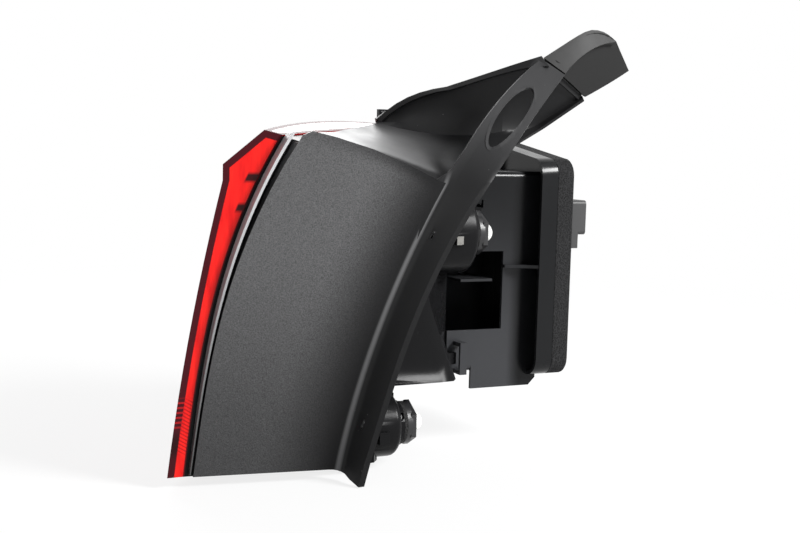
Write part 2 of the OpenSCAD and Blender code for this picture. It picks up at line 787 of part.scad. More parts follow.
// End cap over the joint of arm and far sheet
tip = [tip_x, -41, tip_z];
tip_near = tip + [-1, -6, -3];
tip_far = tip + [22, 11, -23];
function cap_near(s) = bend(arm_right_end, [2, -59, 176], tip_near, s);
function cap_ridge(s) = bend(ridge_joint, [6, -53, 201], tip, s);
function cap_far(s) = bend(far_joint, [38, -33, 148], tip_far, s);
function cap_row(s, out) = let (n = cap_near(s), r = cap_ridge(s), f = cap_far(s), o = out * [-0.4, -0.5, 0.75])
    [n + o, mix(n, r, 0.4) + o, mix(n, r, 0.75) + o, bend(mix(n, r, 0.9), r, mix(r, f, 0.04), 0.5) + o,
     mix(r, f, 0.06) + o, mix(r, f, 0.35), mix(r, f, 0.7), f];
cap_proud = 0.8;
cap_start = 0.01;
module end_cap() {
    color([0.28, 0.28, 0.28])
        union() {
            sheet([for (i = [0:10]) cap_row(mix(cap_start, 1, i / 10), cap_proud)], cover_t);
            at_joint() {
                cylinder(h = joint_len, r = joint_r);
                translate([0, 0, -peg_len])
                    cylinder(h = peg_len + 1, r = stake_r);
            }
        }
}

// Bulb holders. Each turns into the neck of its boss and presses a seal against it.
insert_r = 8;
tooth_w = 1.6;
module socket(y, z, x) {
    face = x + seal_t;
    deep = face - seal_t - neck_len - boss_end;
    top = face + collar_t + grip_t;
    color([0.11, 0.11, 0.12])
        difference() {
            union() {
                translate([face + collar_t, y, z])
                    rotate([0, 90, 0])
                        cylinder(h = grip_t, r = grip_r, $fn = 6);
                bar(y, z, deep - 6, face + collar_t + 1, neck_r);
                bar(y, z, face, face + collar_t + 1, neck_hole + neck_wall - 1);
                for (a = [90:120:330]) {
                    translate([deep - lug - 0.3, y, z])
                        rotate([a, 0, 0])
                            translate([0, neck_r - lug, -lug + 0.4])
                                cube([lug, 2 * lug - 0.4, 2 * lug - 0.8]);
                }
                for (a = [0:60:300]) {
                    translate([top - 1, y, z])
                        rotate([a, 0, 0])
                            translate([0, insert_r - 1, -tooth_w / 2])
                                cube([3.2, 3, tooth_w]);
                }
            }
            bar(y, z, deep - 7, top + 3, insert_r);
        }
}

dome_from = 2.5;
module insert(y, z, x) {
    face = x + seal_t + collar_t + grip_t;
    color([0.93, 0.93, 0.92])
        turned(y, z, concat([[0, face - 12], [insert_r, face - 12], [insert_r, face + dome_from]],
            [for (i = [1:5]) [insert_r * cos(15 * i), face + dome_from + insert_r * sin(15 * i)]],
            [[0, face + dome_from + insert_r]]));
}

module seal(y, z, x) {
    color([0.05, 0.05, 0.05])
        difference() {
            bar(y, z, x, x + seal_t, neck_hole + neck_wall - 1);
            bar(y, z, x - 1, x + seal_t + 1, neck_r);
        }
}

base_r = insert_r;
base_len = 14;
module bulb(y, z, x) {
    back = x + seal_t + collar_t + grip_t - 12;
    mouth = back - base_len;
    color([0.85, 0.85, 0.8])
        turned(y, z, concat([[0, back], [0, mouth - bulb_len]],
            [for (i = [1:6]) [bulb_r * sin(15 * i), mouth - bulb_len + bulb_r - bulb_r * cos(15 * i)]],
            [[bulb_r, mouth - 5], [base_r, mouth], [base_r, back]]));
}

module upper_socket() { socket(-upper_y, upper_z, neck_x); }
module lower_socket() { socket(-lower_y, -lower_z, lower_neck_x); }
module upper_seal() { seal(-upper_y, upper_z, neck_x); }
module lower_seal() { seal(-lower_y, -lower_z, lower_neck_x); }
module upper_insert() { insert(-upper_y, upper_z, neck_x); }
module lower_insert() { insert(-lower_y, -lower_z, lower_neck_x); }
module upper_bulb() { bulb(-upper_y, upper_z, neck_x); }
module lower_bulb() { bulb(-lower_y, -lower_z, lower_neck_x); }

// Reflectors: a bowl that rests on the end wall of its boss, and a plate round its mouth
bowl_wall = 1.4;
bowl_foot = neck_r + 3;
module bowl(y, z, x0, x1, r) {
    mouth = x0 - 1;
    color([0.8, 0.8, 0.82])
        difference() {
            union() {
                turned(y, z, bowl_outline(x0, x1, bowl_foot + bowl_wall, r + bowl_wall));
                children();
            }
            turned(y, z, concat(bowl_outline(x0, x1 + 1, bowl_foot, r), []));
            bar(y, z, mouth, x0 + 1, r - 0.4);
        }
}
function bowl_outline(x0, x1, r0, r1) = concat([[0, x0], [r1, x0]],
    [for (i = [1:8]) let (t = i / 8) [mix(r1, r0, pow(t, 2.4)), mix(x0, x1, t)]], [[0, x1]]);

upper_bowl = 42;
lower_bowl = 34;
lower_mouth = lower_neck_x - neck_len - boss_end - lower_bowl - 1.5;
module upper_reflector() {
    x1 = neck_x - neck_len - boss_end;
    bowl(-upper_y, upper_z, x1 - upper_bowl, x1, upper_boss_r - boss_wall - bowl_wall - 0.6)
        block([x1 - upper_bowl, -wall_y + 16, floor_z + 8], [x1 - upper_bowl + bowl_wall, carrier_y + 5, kink_z - 15]);
}
module lower_reflector() {
    x1 = lower_neck_x - neck_len - boss_end;
    bowl(-lower_y, -lower_z, x1 - lower_bowl, x1, lower_boss_r - boss_wall - bowl_wall - 0.2);
}

// Board of light-emitting diodes on the upper reflector's plate
board_t = 1.6;
board_x = neck_x - neck_len - boss_end - upper_bowl;
led_size = 3.2;
led_t = 1.4;
module led_board() {
    color([0.1, 0.35, 0.15])
        block([board_x - board_t, 0, floor_z + 15], [board_x, carrier_y - 5, kink_z - 21]);
}
module leds() {
    color([0.95, 0.9, 0.6])
        for (y = [8, 22]) {
            for (z = [floor_z + 21:12:kink_z - 27]) {
                block([board_x - board_t - led_t, y - led_size / 2, z - led_size / 2],
                    [board_x - board_t, y + led_size / 2, z + led_size / 2]);
            }
        }
}

// Spring strip that feeds the upper bulb holder, on a pad at the near side of its boss
strip_t = 0.8;
strip_w = 6;
strip_len = 7;
pad_t = 1;
strip_x = neck_x - neck_len - 24;
strip_y = -upper_y - upper_boss_r - pad_t;
strip_z = upper_z - 3;
module strip_pad() {
    block([strip_x, strip_y, strip_z - strip_w / 2 - 1], [strip_x + strip_len + 2, strip_y + 4, strip_z + strip_w / 2 + 1]);
}
module contact_strip() {
    low = strip_z - strip_w / 2;
    high = strip_z + strip_w / 2;
    color([0.75, 0.72, 0.66]) {
        block([strip_x + 1, strip_y - strip_t, low], [strip_x + 1 + strip_len, strip_y, high]);
        block([strip_x + 1, strip_y - 4, low], [strip_x + 1 + strip_t, strip_y, high - 1]);
        block([strip_x + 1, strip_y - 4, low], [strip_x + 5, strip_y - 4 + strip_t, high - 1]);
    }
}

// Rib and catch on the lower boss
module boss_rib() {
    block([lower_neck_x - 25, -lower_y - lower_boss_r - 3, -lower_z - 9], [lower_neck_x - 17, -lower_y - lower_boss_r + 4, -lower_z]);
}
module boss_catch() {
    translate([lower_neck_x - neck_len - 6, 0, -lower_z + lower_boss_r])
        rotate([90, 0, 0])
            translate([0, 0, lower_y - 6])
                linear_extrude(height = 8)
                    polygon([[-8, -4], [0, -7], [7, -6], [7, -1], [5, 1], [-6, 6]]);
}

// Harness connector on the back plate, open towards the car body
connector_y = gasket_w / 2 - gasket_band - connector_w / 2 - 3;
connector_z = gasket_h / 2 - 48;
connector_low = 11;
connector_wall = 2;
connector_floor = 2;
module harness_connector() {
    y0 = -connector_y - connector_w / 2;
    y1 = -connector_y + connector_w / 2;
    z0 = connector_z - connector_h / 2;
    z1 = connector_z + connector_h / 2;
    color([0.38, 0.38, 0.39])
        difference() {
            union() {
                translate([plate_face, -connector_y, connector_z])
                    rotate([90, 0, 90])
                        linear_extrude(height = connector_out - plate_face)
                            rounded(connector_w, connector_h, 3);
                block([plate_back - 3, y0 + 3, z0 + 3], [plate_face + eps, y1 - 3, z1 - 3]);
                block([plate_face, y0, z0 - connector_low], [connector_out - 7, y1, z0 + 4]);
                block([plate_face, y0 + 8, z1 - 1], [connector_out - 10, y0 + 14, z1 + 4]);
            }
            block([connector_floor, y0 + connector_wall, z0 + connector_wall],
                [connector_out + 1, y1 - connector_wall, z1 - connector_wall]);
        }
}

pin_pitch = 5;
module connector_pins() {
    color([0.75, 0.7, 0.5])
        for (y = [-pin_pitch, 0, pin_pitch]) {
            for (z = [-2:2]) {
                block([connector_floor, -connector_y + y - 0.4, connector_z + z * pin_pitch - 1],
                    [connector_out - 8, -connector_y + y + 0.4, connector_z + z * pin_pitch + 1]);
            }
        }
}

// Fixings on the back plate. The shoulders limit how far the foam is pressed together.
collar_r = 6;
shank_more = 1.5;
module fixing_stud() {
    color([0.7, 0.7, 0.72]) {
        bar(0, 0, plate_back, 0, stud_r + shank_more);
        bar(0, 0, -1, stud_len, stud_r);
        translate([plate_face, 0, 0])
            rotate([0, 90, 0])
                cylinder(h = 5, r = collar_r + shank_more, $fn = 6);
    }
}

pin_z = -gasket_h / 2 + 35;
pin_foot = 3;
module locating_pin() {
    color([0.85, 0.85, 0.82])
        turned(0, pin_z, [[0, plate_face], [pin_r + 2 * shank_more, plate_face],
            [pin_r + 2 * shank_more, plate_face + pin_foot], [pin_r + shank_more, plate_face + pin_foot],
            [pin_r + shank_more, 0], [pin_r, 0], [pin_r, pin_len - 2], [pin_r - 2, pin_len], [0, pin_len]]);
}

vent_r = 7;
vent_y = carrier_y - vent_r - 8;
vent_z = gasket_h / 2 - 67;
vent_stem_r = 4;
module vent_cap() {
    color([0.08, 0.08, 0.08]) {
        bar(vent_y, vent_z, plate_back - 2, plate_face, vent_stem_r);
        bar(vent_y, vent_z, plate_face, plate_face + 5, vent_r);
    }
}

module carrier_screws() {
    color([0.6, 0.6, 0.62])
        for (z = tab_heights) {
            difference() {
                union() {
                    bar(tab_y, z, -back_x - screw_len, -back_x + tab_t, screw_r);
                    bar(tab_y, z, -back_x + tab_t, -back_x + tab_t + screw_head_t, screw_head_r);
                }
                translate([-back_x + tab_t + screw_head_t - 1.2, tab_y, z])
                    rotate([0, 90, 0])
                        cylinder(h = 3, r = 2, $fn = 6);
            }
        }
}

outer_lens();
clear_window();
reflex_reflector();
light_guide();
inner_bezel();
upper_reflector();
lower_reflector();
led_board();
leds();
lamp_housing();
rear_carrier();
foam_gasket();
side_cover();
end_cap();
upper_socket();
lower_socket();
upper_seal();
lower_seal();
upper_insert();
lower_insert();
upper_bulb();
lower_bulb();
contact_strip();
harness_connector();
connector_pins();
fixing_stud();
locating_pin();
vent_cap();
carrier_screws();
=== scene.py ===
"""Finishes, fine details, stage and camera for the tail light cluster, round its CAD frame.

Every length is in metres, in the frame of the CAD model: the origin lies where the fixing stud
crosses the gasket's sealing face, +X points into the car body, -Y to the tailgate, +Z up.
"""
import math

import bpy
from mathutils import Matrix, Vector


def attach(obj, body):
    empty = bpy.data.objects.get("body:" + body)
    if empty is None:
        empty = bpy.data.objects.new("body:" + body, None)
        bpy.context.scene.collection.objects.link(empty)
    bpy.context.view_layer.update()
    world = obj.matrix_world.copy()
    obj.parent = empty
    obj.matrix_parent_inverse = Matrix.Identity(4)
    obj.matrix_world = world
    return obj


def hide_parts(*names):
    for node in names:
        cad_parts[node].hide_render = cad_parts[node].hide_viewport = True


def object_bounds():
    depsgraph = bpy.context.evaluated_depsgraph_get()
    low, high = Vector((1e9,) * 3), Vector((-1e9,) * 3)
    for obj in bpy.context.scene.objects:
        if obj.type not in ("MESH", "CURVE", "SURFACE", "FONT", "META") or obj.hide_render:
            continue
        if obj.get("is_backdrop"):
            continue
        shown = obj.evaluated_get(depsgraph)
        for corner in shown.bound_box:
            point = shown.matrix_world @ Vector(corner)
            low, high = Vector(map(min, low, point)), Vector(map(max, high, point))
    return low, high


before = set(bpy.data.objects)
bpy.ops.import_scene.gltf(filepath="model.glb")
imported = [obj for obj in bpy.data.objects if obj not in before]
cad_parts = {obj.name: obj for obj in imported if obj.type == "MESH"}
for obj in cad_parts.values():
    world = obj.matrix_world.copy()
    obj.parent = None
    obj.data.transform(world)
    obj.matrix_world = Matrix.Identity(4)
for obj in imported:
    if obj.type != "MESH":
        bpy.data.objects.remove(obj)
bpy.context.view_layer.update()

bl_info = {
    "name": "Tail light cluster",
    "version": (1, 0, 0),
    "blender": (4, 5, 0),
    "location": "3D View > Sidebar > Tail Light",
    "description": "Dresses the CAD frame of a car's tail light cluster",
    "category": "Object",
}

MM = 0.001


# Places and curves of the CAD model that the finishes and the pieces follow

FOOT = -136 * MM  # height of the foot of lens and cover
KINK = 79 * MM  # height of the edge where the lens slants back
LENS_TOP = 103 * MM  # height of the lens's top beside the cover
FOOT_REACH = -331 * MM  # x of the lens's front at its foot
KINK_REACH = -294 * MM  # x of the lens's front at the slanted edge
TOP_REACH = -264.7 * MM  # x of the lens's front at its top
COVER_TURN = math.radians(8.0)  # turn of the cover's panel from the line of the car

# Curves through a first, a guiding and a last point, in millimetres
ARM_LEFT = ((-134, -96.3, 75), (-100, -86, 128), (-41, -60, 163))
ARM_RIGHT = ((-104.9, -110, 77), (-66, -92, 117), (-27, -72, 151))
CAP_NEAR = ((-27, -72, 151), (2, -59, 176), (36, -47, 180))
CAP_RIDGE = ((-40, -59, 163), (6, -53, 201), (37, -41, 183))
# The line that the cap follows from the arm to the horn's tip
CAP_LINE = ((-34, -65, 157), (37, -41, 183))


def arc(first, guide, last, share):
    """Point on the curve from first towards guide to last, which are given in millimetres."""
    first, guide, last = Vector(first), Vector(guide), Vector(last)
    return (first * (1 - share) ** 2 + guide * 2 * share * (1 - share) + last * share * share) * MM


def rear_rise(z):
    """Height z, a number or a Value, as a share of the lens's edge beside the cover."""
    return (z - FOOT) / (239 * MM)


def rear_edge(z):
    """x of the lens's edge beside the cover at height z, a number or a Value."""
    rise = rear_rise(z)
    return (rise * 0.41 + rise ** 3 * 0.59) * (69.28 * MM) - 319 * MM


# Materials

class Value:
    """A number or colour that varies over a surface: the output of a node, with arithmetic on it."""

    def __init__(self, finish, socket):
        self.finish = finish
        self.socket = socket

    def math(self, operation, *inputs):
        node = self.finish.add("ShaderNodeMath", operation=operation)
        for value, socket in zip(inputs, node.inputs):
            self.finish.feed(value, socket)
        return Value(self.finish, node.outputs[0])

    def __add__(self, other):
        return self.math("ADD", self, other)

    def __sub__(self, other):
        return self.math("SUBTRACT", self, other)

    def __rsub__(self, other):
        return self.math("SUBTRACT", other, self)

    def __mul__(self, other):
        return self.math("MULTIPLY", self, other)

    def __truediv__(self, other):
        return self.math("DIVIDE", self, other)

    def __pow__(self, exponent):
        return self.math("POWER", self, exponent)

    def __abs__(self):
        return self.math("ABSOLUTE", self)

    def sine(self):
        return self.math("SINE", self)

    def least(self, other):
        return self.math("MINIMUM", self, other)

    def ramp(self, low, high, start=0.0, end=1.0, kind="LINEAR"):
        """Goes from start to end while this goes from low to high, and no further."""
        node = self.finish.add("ShaderNodeMapRange", interpolation_type=kind)
        for name, value in (("Value", self), ("From Min", low), ("From Max", high),
                            ("To Min", start), ("To Max", end)):
            self.finish.feed(value, node.inputs[name])
        return Value(self.finish, node.outputs["Result"])

    def soft_ramp(self, low, high, start=0.0, end=1.0):
        """A ramp that starts and ends softly."""
        return self.ramp(low, high, start, end, kind="SMOOTHSTEP")

    def within(self, low, high, soft):
        """1 between low and high, with edges that are soft wide."""
        return self.ramp(low, low + soft) * self.ramp(high - soft, high, 1, 0)

    def stripes(self, pitch, low, high):
        """One stripe to each pitch; a wave from -1 to 1 goes from 0 to 1 between low and high."""
        return (self * (2 * math.pi / pitch)).sine().ramp(low, high)


class Finish:
    """A material under construction: its nodes, its links and its shader."""

    def __init__(self, name, colour, roughness, **sockets):
        self.material = bpy.data.materials.new(name)
        self.material.use_nodes = True
        self.tree = self.material.node_tree
        self.shader = self.tree.nodes["Principled BSDF"]
        self.set("Base Color", colour)
        self.set("Roughness", roughness)
        for socket, value in sockets.items():
            self.set(socket.replace("_", " "), value)
        self.place = Value(self, self.add("ShaderNodeTexCoord").outputs["Object"])

    def add(self, kind, **values):
        """A node of that kind, with its properties set."""
        node = self.tree.nodes.new(kind)
        for key, value in values.items():
            setattr(node, key, value)
        return node

    def feed(self, value, socket):
        """Links a Value to the socket, or sets it to a plain number or colour."""
        if isinstance(value, Value):
            self.tree.links.new(value.socket, socket)
        elif socket.type == "RGBA":
            socket.default_value = (*value, 1.0)
        else:
            socket.default_value = value

    def set(self, socket, value):
        """Gives one of the shader's sockets a number, a colour or a Value."""
        self.feed(value, self.shader.inputs[socket])

    def axes(self):
        """The three Object coordinates of a point."""
        node = self.add("ShaderNodeSeparateXYZ")
        self.feed(self.place, node.inputs["Vector"])
        return tuple(Value(self, node.outputs[axis]) for axis in "XYZ")

    def facing_up(self):
        """1 on level faces, 0 on upright ones, -1 on those that look down."""
        node = self.add("ShaderNodeSeparateXYZ")
        normal = self.add("ShaderNodeNewGeometry").outputs["Normal"]
        self.feed(Value(self, normal), node.inputs["Vector"])
        return Value(self, node.outputs["Z"])

    def pattern(self, kind, output, size, stretch, **settings):
        """A texture on the Object coordinates, whose cells or patches are about size across."""
        mapping = self.add("ShaderNodeMapping")
        self.feed(stretch, mapping.inputs["Scale"])
        self.feed(self.place, mapping.inputs["Vector"])
        node = self.add(kind)
        self.feed(Value(self, mapping.outputs["Vector"]), node.inputs["Vector"])
        self.feed(1.0 / size, node.inputs["Scale"])
        for name, value in settings.items():
            self.feed(value, node.inputs[name])
        return Value(self, node.outputs[output])

    def noise(self, size, detail=2.0, roughness=0.5, stretch=(1, 1, 1)):
        """Soft random noise."""
        return self.pattern("ShaderNodeTexNoise", "Fac", size, stretch, Detail=detail, Roughness=roughness)

    def cells(self, size):
        """Distance from the nearest of many scattered points."""
        return self.pattern("ShaderNodeTexVoronoi", "Distance", size, (1, 1, 1))

    def mix(self, share, first, second):
        """Colour that goes from first to second with share."""
        node = self.add("ShaderNodeMix", data_type="RGBA")
        self.feed(share, node.inputs["Factor"])
        ends = [socket for socket in node.inputs if socket.type == "RGBA"]
        for colour, socket in zip((first, second), ends):
            self.feed(colour, socket)
        return Value(self, next(socket for socket in node.outputs if socket.type == "RGBA"))

    def bump(self, height, strength, depth):
        """Relief of that depth, laid over what is already there."""
        node = self.add("ShaderNodeBump")
        for name, value in (("Strength", strength), ("Distance", depth), ("Height", height)):
            self.feed(value, node.inputs[name])
        for link in self.shader.inputs["Normal"].links:
            self.feed(Value(self, link.from_socket), node.inputs["Normal"])
        self.set("Normal", Value(self, node.outputs["Normal"]))


def left_of_crease(x, z):
    """How far a point of the panel lies to the left of the crease."""
    rise = (z - FOOT) / (211 * MM)
    crease = rise * (rise * 0.48 + 0.52) * (78 * MM) - 212 * MM
    return crease - x


def under_fold(x, z):
    """How far a point of the panel lies under its folded top edge."""
    along = x.ramp(-240 * MM, -138 * MM)
    edge = along * (-36.5 * MM) + 104.5 * MM + (along * math.pi).sine() * (5 * MM)
    return edge - z


def grained_plastic():
    """Grained panel, with painted light that makes it greyest in its upper middle and painted shade that
    darkens it towards the crease, low down and under the top fold.
    """
    f = Finish("grained_black_plastic", (0.05, 0.05, 0.052), 0.5, Specular_IOR_Level=0.12)
    speck = f.noise(0.9 * MM, detail=3.0, roughness=0.6)
    x, _, z = f.axes()
    # Painted shade: darker towards the crease and low down; the speck is the grain
    painted_light_tone = left_of_crease(x, z).soft_ramp(2 * MM, 62 * MM, 0.05, 1.0)
    painted_light_tone = painted_light_tone * z.soft_ramp(-140 * MM, 40 * MM, 0.5, 1.0) * speck.ramp(0.3, 0.72, 0.4, 1.0)
    # Painted shade under the top fold
    shade_under_fold = under_fold(x, z).soft_ramp(1 * MM, 13 * MM, 1, 0) * x.soft_ramp(-245 * MM, -150 * MM, 0.15, 0.8)
    painted_light_tone = painted_light_tone * (1.0 - shade_under_fold)
    f.set("Base Color", f.mix(painted_light_tone, (0.006, 0.006, 0.0064), bpy.context.scene.finish_settings.panel))
    f.set("Roughness", speck.ramp(0.3, 0.7, 0.42, 0.58))
    f.bump(speck, 0.4, 0.25 * MM)
    return f.material


def smooth_plastic():
    """Dark on the flange and on the sheets behind, with painted light that makes the arm greyer and a painted
    sheen on the top by the lens.
    """
    f = Finish("smooth_black_plastic", (0.012, 0.012, 0.0125), 0.36, Specular_IOR_Level=0.14)
    cloud = f.noise(18 * MM, detail=4.0)
    x, y, z = f.axes()
    # Painted light: the arm is greyer than the flange and the sheets behind
    on_arm = z.soft_ramp(60 * MM, 125 * MM) * y.ramp(-59.5 * MM, -57.5 * MM, 1, 0)
    painted_light_tone = f.mix(on_arm, (0.011, 0.011, 0.0115), (0.032, 0.032, 0.033))
    # Painted sheen: pale on the top by the lens, palest near the lens
    on_top = f.facing_up().soft_ramp(0.4, 0.75) * x.soft_ramp(-170 * MM, -85 * MM, 1, 0)
    on_top = on_top * y.soft_ramp(-86 * MM, -78 * MM) * z.soft_ramp(100 * MM, 118 * MM, 1, 0)
    painted_sheen = f.mix(x.soft_ramp(-240 * MM, -130 * MM), (0.30, 0.30, 0.302), (0.10, 0.10, 0.101))
    painted_light_tone = f.mix(on_top, painted_light_tone, painted_sheen)
    # Painted highlight: the crease is painted pale up to where the arm leaves it
    painted_crease_highlight = abs(left_of_crease(x, z) - 1 * MM).ramp(0.6 * MM, 2.2 * MM, 1, 0)
    painted_crease_highlight = painted_crease_highlight * (y.ramp(-72 * MM, -70 * MM, 1, 0) * z.ramp(66 * MM, 78 * MM, 1, 0))
    painted_light_tone = f.mix(painted_crease_highlight, painted_light_tone, (0.12, 0.12, 0.122))
    dust = f.cells(7 * MM).ramp(0.025, 0.045, 1, 0) * cloud.ramp(0.5, 0.6)
    f.set("Base Color", f.mix(dust, painted_light_tone, (0.22, 0.22, 0.22)))
    f.set("Roughness", cloud.ramp(0.3, 0.7, 0.32, 0.42))
    f.bump(f.noise(0.5 * MM), 0.1, 0.08 * MM)
    return f.material


def cap_rubber():
    """Soft semi-matt cap, with painted light that makes it paler where it looks up."""
    f = Finish("cap_satin", (0.028, 0.028, 0.028), 0.55, Specular_IOR_Level=0.22)
    cloud = f.noise(12 * MM, detail=4.0)
    # Painted light: paler where the cap looks up, with a random cloud
    painted_light_tone = f.facing_up().soft_ramp(0.0, 0.5) * cloud.ramp(0.3, 0.7, 0.8, 1)
    f.set("Base Color", f.mix(painted_light_tone, (0.010, 0.010, 0.010), (0.042, 0.042, 0.042)))
    f.bump(f.noise(0.4 * MM), 0.15, 0.08 * MM)
    return f.material


def housing_plastic():
    """Glossy black body, with the soft waves of a moulding."""
    f = Finish("housing_black", (0.008, 0.008, 0.0085), 0.22, Specular_IOR_Level=0.08)
    f.set("Roughness", f.noise(25 * MM, detail=3.0).ramp(0.3, 0.7, 0.18, 0.3))
    f.bump(f.noise(14 * MM, detail=3.0), 0.12, 0.6 * MM)
    return f.material


def carrier_plastic():
    """Glossy black carrier, with painted light that makes it greyer low on its front wall."""
    f = Finish("carrier_black", (0.006, 0.0065, 0.008), 0.2, Specular_IOR_Level=0.2)
    cloud = f.noise(30 * MM, detail=3.0, stretch=(1, 1, 0.4))
    x, _, z = f.axes()
    # Painted light: greyer low on the front wall, dark higher up
    painted_light_tone = z.soft_ramp(-70 * MM, 70 * MM, 1, 0) * x.ramp(-48 * MM, -36 * MM, 1, 0)
    f.set("Base Color", f.mix(painted_light_tone, (0.006, 0.0063, 0.007), (0.036, 0.037, 0.040)))
    f.set("Roughness", cloud.ramp(0.3, 0.7, 0.16, 0.28))
    f.bump(cloud, 0.2, 0.8 * MM)
    return f.material


def foam_rubber(name, colour):
    """Foam or rubber with open pores, with painted shade that makes each pore darker."""
    f = Finish(name, colour, 0.95, Specular_IOR_Level=0.15)
    pores = f.cells(1.3 * MM)
    # Painted shade and light: darker in each pore, paler between the pores
    f.set("Base Color", f.mix(pores.ramp(0.1, 0.7), [c * 0.4 for c in colour], [c * 1.7 for c in colour]))
    f.bump(pores, 0.8, 0.5 * MM)
    f.bump(f.noise(0.7 * MM), 0.4, 0.3 * MM)
    return f.material


def lens_red():
    """Red skin over the flutes of the lit field and the finer grid of the reflex field at its foot."""
    f = Finish("lens_red", (0.8, 0.012, 0.016), 0.05, IOR=1.49, Transmission_Weight=0.55,
               Specular_IOR_Level=0.5)
    _, y, z = f.axes()
    flutes = z.stripes(8 * MM, -0.7, 0.9)
    grid = f.cells(3.2 * MM).ramp(0.15, 0.6)
    on_grid = z.within(-125 * MM, -100 * MM, 0.6 * MM)
    optics = on_grid * grid + (1.0 - on_grid) * flutes
    colour = f.mix(optics, bpy.context.scene.finish_settings.lens, (0.5, 0.006, 0.008))
    field = y.within(-60 * MM, 70 * MM, 0.8 * MM) * z.within(-126 * MM, 73 * MM, 0.8 * MM)
    border = (1.0 - (field + z.ramp(78.5 * MM, 79.5 * MM))).least(0.85)
    f.set("Base Color", f.mix(border, colour, (0.2, 0.003, 0.004)))
    f.bump(f.noise(40 * MM), 0.03, 0.5 * MM)
    return f.material


def lens_border():
    """The lens's dark red border."""
    f = Finish("lens_border", (0.04, 0.002, 0.004), 0.35, Specular_IOR_Level=0.1)
    f.set("Base Color", f.mix(f.noise(6 * MM), (0.03, 0.002, 0.004), (0.05, 0.003, 0.005)))
    return f.material


def lens_top():
    """The lens's top, which the light turns pale."""
    f = Finish("lens_top", (0.86, 0.42, 0.42), 0.08, IOR=1.49, Coat_Weight=1.0, Coat_Roughness=0.03)
    f.set("Base Color", f.mix(f.noise(50 * MM), (0.84, 0.36, 0.37), (0.88, 0.5, 0.5)))
    return f.material


def lens_side():
    """Lit red inside a dark border, with the ribs and notches of the optics behind it."""
    f = Finish("lens_side", (1.0, 0.03, 0.025), 0.05, Specular_IOR_Level=0.15)
    x, _, z = f.axes()
    from_rear = rear_edge(z) - x
    rise = (z - FOOT) / (204 * MM)
    front = (rise * (rise * 0.35 + 0.65) * (KINK_REACH - FOOT_REACH) + FOOT_REACH).least(KINK_REACH)
    slant = (z - KINK) * 1.22 + KINK_REACH
    from_top = (z - LENS_TOP) * -0.934 - (x - TOP_REACH) * 0.216
    inward = (x - front).least((x - slant) * 0.634).least(from_top)

    cloud = f.noise(16 * MM, stretch=(2.5, 1, 0.5))
    colour = f.mix(cloud.ramp(0.35, 0.65), (0.56, 0.007, 0.007), (0.8, 0.014, 0.01))
    # Diagonal ribs of the reflex field, low in the bright part
    ribs = (x + z * 1.6).stripes(4.2 * MM, 0.0, 0.7) * z.within(-122 * MM, -80 * MM, 4 * MM)
    colour = f.mix(ribs * 0.75, colour, (0.28, 0.004, 0.006))
    # Two dark notches where the frame behind reaches into the red, then its edge
    for low, high, reach in ((66, 74.5, 8.5), (45.5, 53.5, 5.5)):
        notch = z.within(low * MM, high * MM, 2.5 * MM) * from_rear.ramp(reach * MM, (reach + 1.2) * MM, 1, 0)
        colour = f.mix(notch, colour, (0.03, 0.002, 0.003))
    colour = f.mix(from_rear.ramp(0.8 * MM, 1.4 * MM, 1, 0), colour, (0.06, 0.002, 0.004))
    # Stripes across the border near the foot, and a blackish stretch under them
    stripes = z.stripes(3.4 * MM, 0.1, 0.5) * z.within(-104 * MM, -80 * MM, 4 * MM)
    border = f.mix(stripes, (0.045, 0.002, 0.005), (0.3, 0.006, 0.008))
    border = f.mix(z.within(-124 * MM, -103 * MM, 6 * MM), border, (0.02, 0.002, 0.003))
    f.set("Base Color", f.mix(inward.ramp(4.6 * MM, 5.2 * MM), border, colour))
    return f.material


def rim_satin():
    """The raised edge of the body beside the lens, with painted light that makes it bright at the top and
    darker at the foot.
    """
    f = Finish("rim_satin", (0.3, 0.3, 0.3), 0.3, Specular_IOR_Level=0.5)
    _, _, z = f.axes()
    # Painted light: bright at the top, darker at the foot
    f.set("Base Color", f.mix(z.soft_ramp(FOOT, 90 * MM), (0.05, 0.05, 0.05), (0.42, 0.42, 0.43)))
    f.bump(f.noise(6 * MM, stretch=(1, 1, 0.2)), 0.1, 0.2 * MM)
    return f.material


def lens_clear():
    """Clear window for the reversing light."""
    f = Finish("lens_clear", (0.95, 0.95, 0.96), 0.04, IOR=1.49, Transmission_Weight=0.9)
    f.bump(f.noise(40 * MM), 0.03, 0.5 * MM)
    return f.material


def prism_red():
    """Thick red layer of small prisms."""
    f = Finish("prism_red", (0.75, 0.012, 0.012), 0.12, IOR=1.49, Transmission_Weight=0.5)
    f.bump(f.cells(2.4 * MM), 0.9, 1.0 * MM)
    return f.material


def guide_acrylic():
    """Light guide, with fine cross cuts along it."""
    f = Finish("guide_acrylic", (0.9, 0.12, 0.1), 0.15, IOR=1.49, Transmission_Weight=0.4)
    f.bump(f.noise(2 * MM, stretch=(0.2, 0.2, 3)), 0.4, 0.5 * MM)
    return f.material


def bright_metal():
    """Metallised plastic of the reflectors."""
    f = Finish("bright_metal", (0.8, 0.8, 0.82), 0.12, Metallic=1.0)
    f.set("Roughness", f.noise(15 * MM).ramp(0.3, 0.7, 0.08, 0.18))
    return f.material


def plated_steel(name, colour, roughness):
    """Plated metal with fine streaks."""
    f = Finish(name, colour, roughness, Metallic=1.0)
    streak = f.noise(1.5 * MM, detail=3.0, stretch=(0.3, 1, 1))
    f.set("Roughness", streak.ramp(0.3, 0.7, roughness * 0.8, roughness * 1.3))
    f.bump(streak, 0.1, 0.1 * MM)
    return f.material


